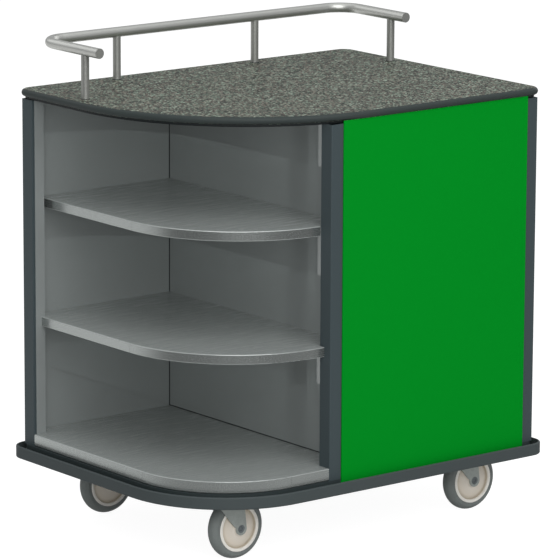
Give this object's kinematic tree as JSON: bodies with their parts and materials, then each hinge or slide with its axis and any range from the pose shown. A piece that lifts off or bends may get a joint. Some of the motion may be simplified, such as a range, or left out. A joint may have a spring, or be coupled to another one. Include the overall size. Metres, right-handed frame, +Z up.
{
  "type": "beverage cart",
  "caption": "Mobile beverage counter: steel cabinet with a rounded open corner of shelves, green panel, speckled top, tube guard rail, wrap-round bumper and swivel casters.",
  "frame": {"origin": "on the floor, at the middle of the bumper's outline", "axes": "+X to the right along the green front, +Y from the front to the back, +Z up"},
  "size_m": [0.967, 0.715, 1.0795],
  "materials": {
    "speckled_laminate": "fine granite-like speckle, satin",
    "edge_vinyl": "moulded edge, satin charcoal",
    "dark_powder_coat": "fine charcoal powder coat",
    "base_powder_coat": "near-black powder coat",
    "satin_tube": "satin stainless tube",
    "stainless_sheet": "brushed stainless sheet",
    "green_enamel": "flat green enamel, satin",
    "bumper_vinyl": "moulded charcoal vinyl",
    "zinc_plate": "dull bright-zinc plate",
    "bearing_steel": "polished bearing steel",
    "hub_polymer": "cream moulded polymer",
    "grey_tread": "non-marking grey thermoplastic rubber"
  },
  "bodies": {
    "cabinet": {"countertop": "speckled_laminate", "countertop_edge": "edge_vinyl", "top_frame": "dark_powder_coat", "rail_tube": "satin_tube", "rail_end_plugs": "satin_tube", "rail_post_left": "satin_tube", "rail_post_back_left": "satin_tube", "rail_post_back_right": "satin_tube", "rail_post_right": "satin_tube", "rail_post_screws": "zinc_plate", "post_back_left": "dark_powder_coat", "post_front_middle": "dark_powder_coat", "post_front_right": "dark_powder_coat", "post_back_right": "dark_powder_coat", "post_back_middle": "dark_powder_coat", "jamb_liner": "stainless_sheet", "back_panel": "stainless_sheet", "partition": "stainless_sheet", "shelf_upper": "stainless_sheet", "shelf_lower": "stainless_sheet", "deck": "stainless_sheet", "front_panel": "green_enamel", "right_panel": "green_enamel", "rear_bay_floor": "stainless_sheet", "rear_bay_shelf": "stainless_sheet", "base_pan": "base_powder_coat", "bumper": "bumper_vinyl", "caster_nuts": "zinc_plate", "caster_bolts": "zinc_plate", "plate_front_left": "zinc_plate", "kingpin_front_left": "zinc_plate", "plate_front_right": "zinc_plate", "kingpin_front_right": "zinc_plate", "plate_back_left": "zinc_plate", "kingpin_back_left": "zinc_plate", "plate_back_right": "zinc_plate", "kingpin_back_right": "zinc_plate"},
    "caster_front_left": {"fork_front_left": "zinc_plate", "axle_front_left": "zinc_plate", "balls_front_left": "bearing_steel"},
    "wheel_front_left": {"hub_front_left": "hub_polymer", "tyre_front_left": "grey_tread"},
    "caster_front_right": {"fork_front_right": "zinc_plate", "axle_front_right": "zinc_plate", "balls_front_right": "bearing_steel"},
    "wheel_front_right": {"hub_front_right": "hub_polymer", "tyre_front_right": "grey_tread"},
    "caster_back_left": {"fork_back_left": "zinc_plate", "axle_back_left": "zinc_plate", "balls_back_left": "bearing_steel"},
    "wheel_back_left": {"hub_back_left": "hub_polymer", "tyre_back_left": "grey_tread"},
    "caster_back_right": {"fork_back_right": "zinc_plate", "axle_back_right": "zinc_plate", "balls_back_right": "bearing_steel"},
    "wheel_back_right": {"hub_back_right": "hub_polymer", "tyre_back_right": "grey_tread"}
  },
  "joints": [
    {"name": "swivel_front_left", "type": "hinge", "parent": "cabinet", "child": "caster_front_left", "pos_m": [-0.3312, -0.2342, 0.14], "axis": [0, 0, 1], "continuous": true},
    {"name": "spin_front_left", "type": "hinge", "parent": "caster_front_left", "child": "wheel_front_left", "pos_m": [-0.3056, -0.2342, 0.0688], "axis": [0, 1, 0], "continuous": true},
    {"name": "swivel_front_right", "type": "hinge", "parent": "cabinet", "child": "caster_front_right", "pos_m": [0.3312, -0.2342, 0.14], "axis": [0, 0, 1], "continuous": true},
    {"name": "spin_front_right", "type": "hinge", "parent": "caster_front_right", "child": "wheel_front_right", "pos_m": [0.3568, -0.2342, 0.0688], "axis": [0, 1, 0], "continuous": true},
    {"name": "swivel_back_left", "type": "hinge", "parent": "cabinet", "child": "caster_back_left", "pos_m": [-0.3312, 0.2342, 0.14], "axis": [0, 0, 1], "continuous": true},
    {"name": "spin_back_left", "type": "hinge", "parent": "caster_back_left", "child": "wheel_back_left", "pos_m": [-0.3056, 0.2342, 0.0688], "axis": [0, 1, 0], "continuous": true},
    {"name": "swivel_back_right", "type": "hinge", "parent": "cabinet", "child": "caster_back_right", "pos_m": [0.3312, 0.2342, 0.14], "axis": [0, 0, 1], "continuous": true},
    {"name": "spin_back_right", "type": "hinge", "parent": "caster_back_right", "child": "wheel_back_right", "pos_m": [0.3568, 0.2342, 0.0688], "axis": [0, 1, 0], "continuous": true}
  ]
}
